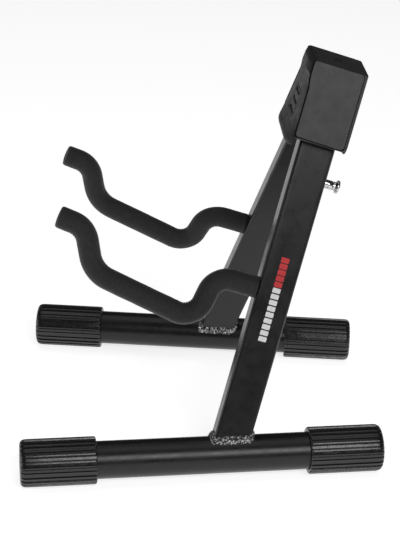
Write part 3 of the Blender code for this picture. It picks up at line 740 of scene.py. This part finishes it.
def head_pad():
    """Crowned rubber pad with a chin, a top lip and plain moulded bars."""
    low = PAD_PROFILE[0][0]
    high = HEAD_TOP
    rows = 170
    across = 120
    rings = []
    for i in range(rows + 1):
        z = low + (high - low) * i / rows
        half = head_half(z, 0.0006) - 0.9 * corner_loss(z - low, 0.015)
        half -= 0.6 * corner_loss(high - z, 0.0018)
        ends = corner_loss(z - low, 0.0010) + corner_loss(high - z, 0.0016)
        side_front = PAD_SIDE - 0.0014 * ease((z - 0.0165) / 0.007)
        front = pad_front(z) + ends * 0.6
        power = 2 + 3 * ease((-0.012 - z) / 0.014)
        ring = [(half, SHELL_FRONT - 0.0002, z), (-half, SHELL_FRONT - 0.0002, z)]
        for j in range(across + 1):
            x = half * (2 * j / across - 1)
            past = max(0.0, abs(x) - PAD_FLAT) / (half - PAD_FLAT)
            y = front + (side_front - front) * past ** power
            y += 0.0008 * (1 - ease((half - abs(x)) / 0.0022))
            y += 0.0010 * groove(x, z)
            ring.append((x, y, z))
        rings.append(ring)
    piece("head_front_pad", loft(rings), HEAD, PAD, "head", "head_pad", 1, 50)
    tab = rounded_outline([(-0.0195, -0.0270), (-0.0155, -0.0222), (0.0155, -0.0222),
                           (0.0195, -0.0270)], (0.0003, 0.0008, 0.0008, 0.0003), 5)
    rings = [[(x, y, HEAD_TOP - 0.0012) for x, y in tab],
             [(x, y, HEAD_TOP + 0.0001) for x, y in tab],
             [(x * 0.985, y - 0.0002, HEAD_TOP + 0.0004) for x, y in tab]]
    piece("pad_top_tab", loft(rings), HEAD, PAD, "head", None, 1, 50)


def side_panel(side, word):
    """Flat cover on the head's side, over a near-black seat that paints the shade in its seam."""
    place = (HEAD @ Matrix.Translation((HEAD_TOP_HALF, 0, HEAD_TOP))
             @ Matrix.Rotation(-SPLAY, 4, "Y") @ SWAP_XY)
    # The first pass lays a near-black sheet just wider than the panel: painted shade for the seam
    # around it.
    for name, grow, out, ease_by, look in (("side_seam_shade", 0.0009, 0.0004, 0.0002, SEAM_SHADE),
                                           ("side_panel", 0.0, 0.0013, 0.0011, SHELL)):
        front = PAD_SIDE + 0.0006 - grow
        rear = 0.0207 + grow
        corners = [(front - 0.0014, -0.0006), (front - 0.0014, -0.0170), (front, -0.0250),
                   (front, -0.0702 - grow), (rear, -0.0715 - grow), (rear, -0.0010)]
        outline = rounded_outline(corners, (0.0012, 0.006, 0.006, 0.0022, 0.0036, 0.0016), 8)
        piece(f"{word}_{name}", prism(outline, -0.0003, out, ease_by, 6), place, look, "head",
              None, side, 45)


def side_prism(outline, half, bevel):
    """Close a (y, z) outline into a solid reaching half to each side in x."""
    shape = prism(outline, -half, half, bevel)
    bmesh.ops.transform(shape, matrix=SWAP_XY, verts=shape.verts)
    return shape


def joined(first, second):
    """Add one bmesh to another."""
    mesh = bpy.data.meshes.new("joined")
    second.to_mesh(mesh)
    second.free()
    first.from_mesh(mesh)
    bpy.data.meshes.remove(mesh)
    return first


def head_bracket():
    """Bent sheet with rolled bends, and the tongue with round lower corners."""
    rear = TONGUE_FRONT + BRACKET_SHEET
    inner = BRACKET_FRONT + BRACKET_SHEET
    under = BRACKET_TOP - BRACKET_SHEET
    corners = [(BRACKET_FRONT, BRACKET_BOTTOM), (BRACKET_FRONT, BRACKET_TOP),
               (rear, BRACKET_TOP), (rear, BRACKET_BOTTOM),
               (TONGUE_FRONT, BRACKET_BOTTOM), (TONGUE_FRONT, under),
               (inner, under), (inner, BRACKET_BOTTOM)]
    outline = rounded_outline(corners, (0.0004, 0.0035, 0.0035, 0.0004, 0.0004, 0.0015, 0.0015,
                                        0.0004), 8)
    shape = side_prism(outline, BRACKET_HALF, 0.0004)
    low = -PIN_DROP - 0.0105
    tongue = rounded_outline([(-0.011, low), (-0.011, -0.012), (0.011, -0.012), (0.011, low)],
                             (0.004, 0, 0, 0.004), 10)
    shape = joined(shape, prism(tongue, TONGUE_FRONT, rear, 0.0004))
    piece("hinge_bracket", shape, HEAD, COAT, "head", "head_bracket", 1, 40)


def hex_ring(y, apothem, cap, x, z=0.0, sides=72):
    """A six-sided outline whose corners are turned down to a round."""
    ring = []
    for i in range(sides):
        turn = 2 * math.pi * i / sides
        local = (turn + math.pi / 6) % (math.pi / 3) - math.pi / 6
        reach = min(apothem / math.cos(local), cap)
        ring.append((x + reach * math.cos(turn), y, z + reach * math.sin(turn)))
    return ring


def back_screws():
    """Four domed screws with six-sided sockets."""
    places = ((0.020, 0.0185), (-0.020, 0.0185), (0.021, -0.0155), (-0.021, -0.0155))
    seat = BACK_REAR + 0.0001
    for i, (x, z) in enumerate(places):
        rings = []
        for radius, lift in ((0.0017, -0.0030), (0.0017, 0.0), (0.0033, 0.0), (0.0036, 0.0003),
                             (0.0036, 0.0009), (0.0034, 0.0015), (0.0030, 0.0019),
                             (0.0024, 0.0022), (0.0019, 0.0023)):
            rings.append(hex_ring(seat + lift, 1.0, radius, x, z))
        for reach, lift in ((0.0015, 0.0023), (0.0014, 0.0022), (0.0014, 0.0009)):
            rings.append(hex_ring(seat + lift, reach, 1.0, x, z))
        piece(f"plate_screw_{i + 1}", loft(rings), HEAD, ZINC, "head", f"back_screw_{i + 1}",
              1, 30)


def hinge_hardware(side, word):
    """Bolt with threads past the plate, nut, washer and bush of one hinge."""
    x = side * HINGE_X
    seat = -0.0213
    bolt = [(0.0008, seat - 0.0032), (0.0030, seat - 0.0031), (0.0052, seat - 0.0026),
            (0.0065, seat - 0.0017), (0.0070, seat - 0.0008), (0.0070, seat - 0.0001),
            (0.0068, seat), (0.0040, seat), (0.0040, 0.0226)]
    for i in range(7):
        at = 0.0228 + i * 0.0007
        bolt.extend([(0.0040, at), (0.0040, at + 0.0001), (0.00365, at + 0.0004)])
    bolt.extend([(0.0040, 0.0277), (0.0034, 0.0283), (0.0006, 0.0283)])
    piece(f"{word}_bolt", turned(bolt, 64, x), HEAD, ZINC, "head", f"{word}_hinge_bolt",
          1, 30)
    rings = [hex_ring(y, 0.0065, cap, x) for y, cap in
             ((PLATE, 0.0066), (PLATE + 0.0004, 0.0072), (PLATE + 0.0007, 0.0075),
              (PLATE + 0.0038, 0.0075), (PLATE + 0.0041, 0.0072), (PLATE + 0.0045, 0.0066))]
    rings.extend(hex_ring(y, 1.0, cap, x) for y, cap in
                 ((PLATE + 0.0045, 0.0048), (PLATE + 0.0041, 0.0043), (PLATE + 0.0004, 0.0043)))
    piece(f"{word}_nut", loft(rings, closed=True), HEAD, ZINC, "head", f"{word}_hinge_nut",
          1, 30)
    washer = [(0.0044, -0.0188), (0.0077, -0.0188), (0.0080, -0.0185), (0.0080, -0.0177),
              (0.0077, -0.0174), (0.0044, -0.0174)]
    piece(f"{word}_washer", turned(washer, 64, x, closed=True), HEAD, ZINC, "head",
          f"{word}_front_washer", 1, 30)
    bush = [(0.0044, 0.0174), (0.0076, 0.0174), (0.0080, 0.0178), (0.0080, 0.0200),
            (0.0076, 0.0204), (0.0044, 0.0204)]
    piece(f"{word}_bush", turned(bush, 64, x, closed=True), HEAD, SHELL, "head",
          f"{word}_rear_bush", 1, 30)


# ---- Lock pieces -----------------------------------------------------------
def on_circle(radius, turn):
    """Point (x, z) on a circle, the angle starting from -z."""
    return (radius * math.sin(turn), -radius * math.cos(turn))


def sector_outline(radius, half, start, end):
    """A curved bar with round ends about the hinge axis, angles from -z."""
    points = [on_circle(radius + half, start + (end - start) * i / 30) for i in range(31)]
    x, z = on_circle(radius, end)
    for i in range(1, 16):
        swing = end + math.pi * i / 16
        points.append((x + half * math.sin(swing), z - half * math.cos(swing)))
    points.extend(on_circle(radius - half, end + (start - end) * i / 30) for i in range(31))
    x, z = on_circle(radius, start)
    for i in range(1, 16):
        swing = start + math.pi + math.pi * i / 16
        points.append((x + half * math.sin(swing), z - half * math.cos(swing)))
    return points


def lock_lug(side, word, body, front, stem):
    """Slotted lug with eased edges; the stem one reaches down to its spacer."""
    rear = front + LUG_SHEET
    root = -math.asin(0.0028 / PIN_RADIUS) - LUG_HALF / PIN_RADIUS
    ease_by = 0.0002
    rings = []
    swept = FOLD - PIN_ANGLE
    for half, end, y in ((LUG_HALF - ease_by, root, front),
                         (LUG_HALF, root, front + ease_by),
                         (LUG_HALF, root, rear - ease_by),
                         (LUG_HALF - ease_by, root, rear),
                         (SLOT_HALF + ease_by, swept, rear),
                         (SLOT_HALF, swept, rear - ease_by),
                         (SLOT_HALF, swept, front + ease_by),
                         (SLOT_HALF + ease_by, swept, front)):
        outline = sector_outline(PIN_RADIUS, half, -PIN_ANGLE, end)
        rings.append([(x, y, z) for x, z in outline])
    shape = loft(rings, closed=True)
    low = -PIN_RADIUS - 0.0295
    if stem:
        outline = rounded_outline([(-0.0140, low), (-0.0140, low + 0.030),
                                   (-0.0030, low + 0.030), (-0.0027, low)],
                                  (0.002, 0.003, 0.003, 0.002), 8)
        shape = joined(shape, prism(outline, front, rear, ease_by, 2))
    piece(f"{word}_slot_lug", shape, LEG, ZINC, body, f"{word}_lock_lug", side, 40)
    if stem:
        low = -PIN_RADIUS - 0.0290
        outline = rounded_outline([(-0.0097, low), (-0.0097, low + 0.016),
                                   (-0.0030, low + 0.016), (-0.0030, low)],
                                  (0.0012, 0.0012, 0.0012, 0.0012), 6)
        piece(f"{word}_spacer", prism(outline, 0.0173, 0.0187, ease_by, 2), LEG, ZINC, body,
              f"{word}_lug_spacer", side, 40)


def lock_parts():
    """Flanged barrel, pin with its collar, and the pull knob."""
    place = HEAD @ Matrix.Translation((0, 0, -PIN_DROP))
    end = BARREL_END
    barrel = [(0.0034, PLATE), (0.0057, PLATE), (0.0060, PLATE + 0.0003),
              (0.0060, PLATE + 0.0009), (0.0057, PLATE + 0.0012), (0.0048, PLATE + 0.0013),
              (0.0044, PLATE + 0.0017), (0.0044, end - 0.0050), (0.0042, end - 0.0048),
              (0.0042, end - 0.0044), (0.0044, end - 0.0042), (0.0044, end - 0.0007),
              (0.0041, end - 0.0002), (0.0036, end), (0.0025, end), (0.0024, end - 0.0002),
              (0.0024, end - 0.0015), (0.0034, end - 0.0015)]
    piece("pin_barrel", turned(barrel, 72, closed=True), place, CHROME, "head", "lock_barrel",
          1, 35)
    collar = PLATE + 0.0003
    pin = [(0.0010, 0.0176), (0.0016, 0.0177), (0.0020, 0.0181), (0.0021, 0.0185),
           (0.0021, collar), (0.0029, collar), (0.0031, collar + 0.0002),
           (0.0031, collar + 0.0008), (0.0029, collar + 0.001), (0.0021, collar + 0.001),
           (0.0021, 0.0400)]
    piece("pin", turned(pin, 64), place, CHROME, "lock", "lock_pin", 1, 35)
    neck = end + 0.0003
    knob = [(0.0024, 0.0402), (0.0024, neck), (0.0040, neck), (0.0042, neck + 0.0002),
            (0.0042, 0.0374), (0.0045, 0.0379), (0.0052, 0.0380), (0.0060, 0.0382),
            (0.0064, 0.0388), (0.0064, 0.0405), (0.0061, 0.0410), (0.0055, 0.0412),
            (0.0030, 0.0412), (0.0026, 0.0409)]
    piece("pin_knob", turned(knob, 72), place, CHROME, "lock", "pull_knob", 1, 35)


# ---- Assemble --------------------------------------------------------------
for side, word in ((1, "right"), (-1, "left")):
    body = f"{word}_leg"
    leg_tube(side, word, body)
    foot_tube(side, word, body)
    end_cap(side, word, body, "front", 1, FOOT_FRONT)
    end_cap(side, word, body, "rear", -1, FOOT_REAR)
    foot_weld(side, word, body)
    arm_foam(side, word, body)
    leg_print(side, word, body)
    hinge_hardware(side, word)

lock_lug(1, "right", "right_leg", 0.0173, False)
lock_lug(-1, "left", "left_leg", 0.0190, True)
head_shell()
head_back()
head_pad()
side_panel(1, "right")
side_panel(-1, "left")
head_bracket()
back_screws()
lock_parts()

for name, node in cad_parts.items():
    if "bolt" in name or "nut" in name or "screw" in name or "washer" in name:
        look = ZINC
    elif name in ("lock_barrel", "lock_pin", "pull_knob"):
        look = CHROME
    elif "spring" in name or "rod" in name:
        look = ZINC
    elif "foam" in name:
        look = FOAM
    elif "cap" in name:
        look = CAP
    elif name in ("head_shell", "head_back") or "bush" in name:
        look = SHELL
    elif name == "head_pad":
        look = PAD
    else:
        look = COAT
    node.data.materials.clear()
    node.data.materials.append(look)


# ---- Floor, light and camera -----------------------------------------------
def floor():
    """Pale matt floor."""
    bpy.ops.mesh.primitive_plane_add(size=12, location=(0, 0, 0))
    item = bpy.context.object
    item.name = "floor"
    m = Mat("pale_floor", Specular_IOR_Level=0.1, Emission_Strength=0.75)
    m.colour(m.ramp(m.noise(3, 2, 0.5), ((0.3, 0.80), (0.7, 0.82))))
    m.shader.inputs["Emission Color"].default_value = (1, 1, 1, 1)
    m.rough(m.noise(20, 2, 0.5), 0.6, 0.7)
    item.data.materials.append(m.mat)


def area_light(name, place, target, size, power):
    """Soft rectangular lamp aimed at a point."""
    data = bpy.data.lights.new(name, "AREA")
    data.shape = "RECTANGLE"
    data.size = size[0]
    data.size_y = size[1]
    data.energy = power
    item = bpy.data.objects.new(name, data)
    bpy.context.scene.collection.objects.link(item)
    item.location = place
    item.rotation_euler = (Vector(target) - Vector(place)).to_track_quat("-Z", "Y").to_euler()


def studio():
    """Dim surroundings and three soft lamps."""
    world = bpy.data.worlds.new("studio")
    bpy.context.scene.world = world
    world.use_nodes = True
    world.node_tree.nodes["Background"].inputs["Color"].default_value = (1, 1, 1, 1)
    world.node_tree.nodes["Background"].inputs["Strength"].default_value = 0.05
    area_light("overhead", (-0.3, 0.0, 2.6), (0, 0, 0), (2.4, 2.4), 13)
    area_light("key", (2.3, 0.7, 1.75), (0, 0, 0.2), (1.6, 1.0), 31)
    area_light("front", (0.45, -2.2, 0.55), (0, 0, 0.2), (0.9, 0.9), 8)


def camera():
    """Long lens from the right, a little in front and well above."""
    turn = math.radians(3.086)
    rise = math.radians(24.03)
    roll = math.radians(1.878)
    target = Vector((0, -0.00143, 0.1567))
    out = Vector((math.cos(rise) * math.cos(turn), -math.cos(rise) * math.sin(turn),
                  math.sin(rise)))
    right = Vector((math.sin(turn), math.cos(turn), 0))
    up = out.cross(right)
    right_rolled = right * math.cos(roll) + up * math.sin(roll)
    up_rolled = up * math.cos(roll) - right * math.sin(roll)
    data = bpy.data.cameras.new("camera")
    data.lens = 100.69
    data.sensor_width = 36
    data.clip_start = 0.05
    data.clip_end = 50
    item = bpy.data.objects.new("camera", data)
    bpy.context.scene.collection.objects.link(item)
    item.matrix_world = (Matrix.Translation(target + out * 1.4469)
                         @ Matrix((right_rolled, up_rolled, out)).transposed().to_4x4())
    bpy.context.scene.camera = item


floor()
studio()
camera()
bpy.context.scene.view_settings.view_transform = "Standard"
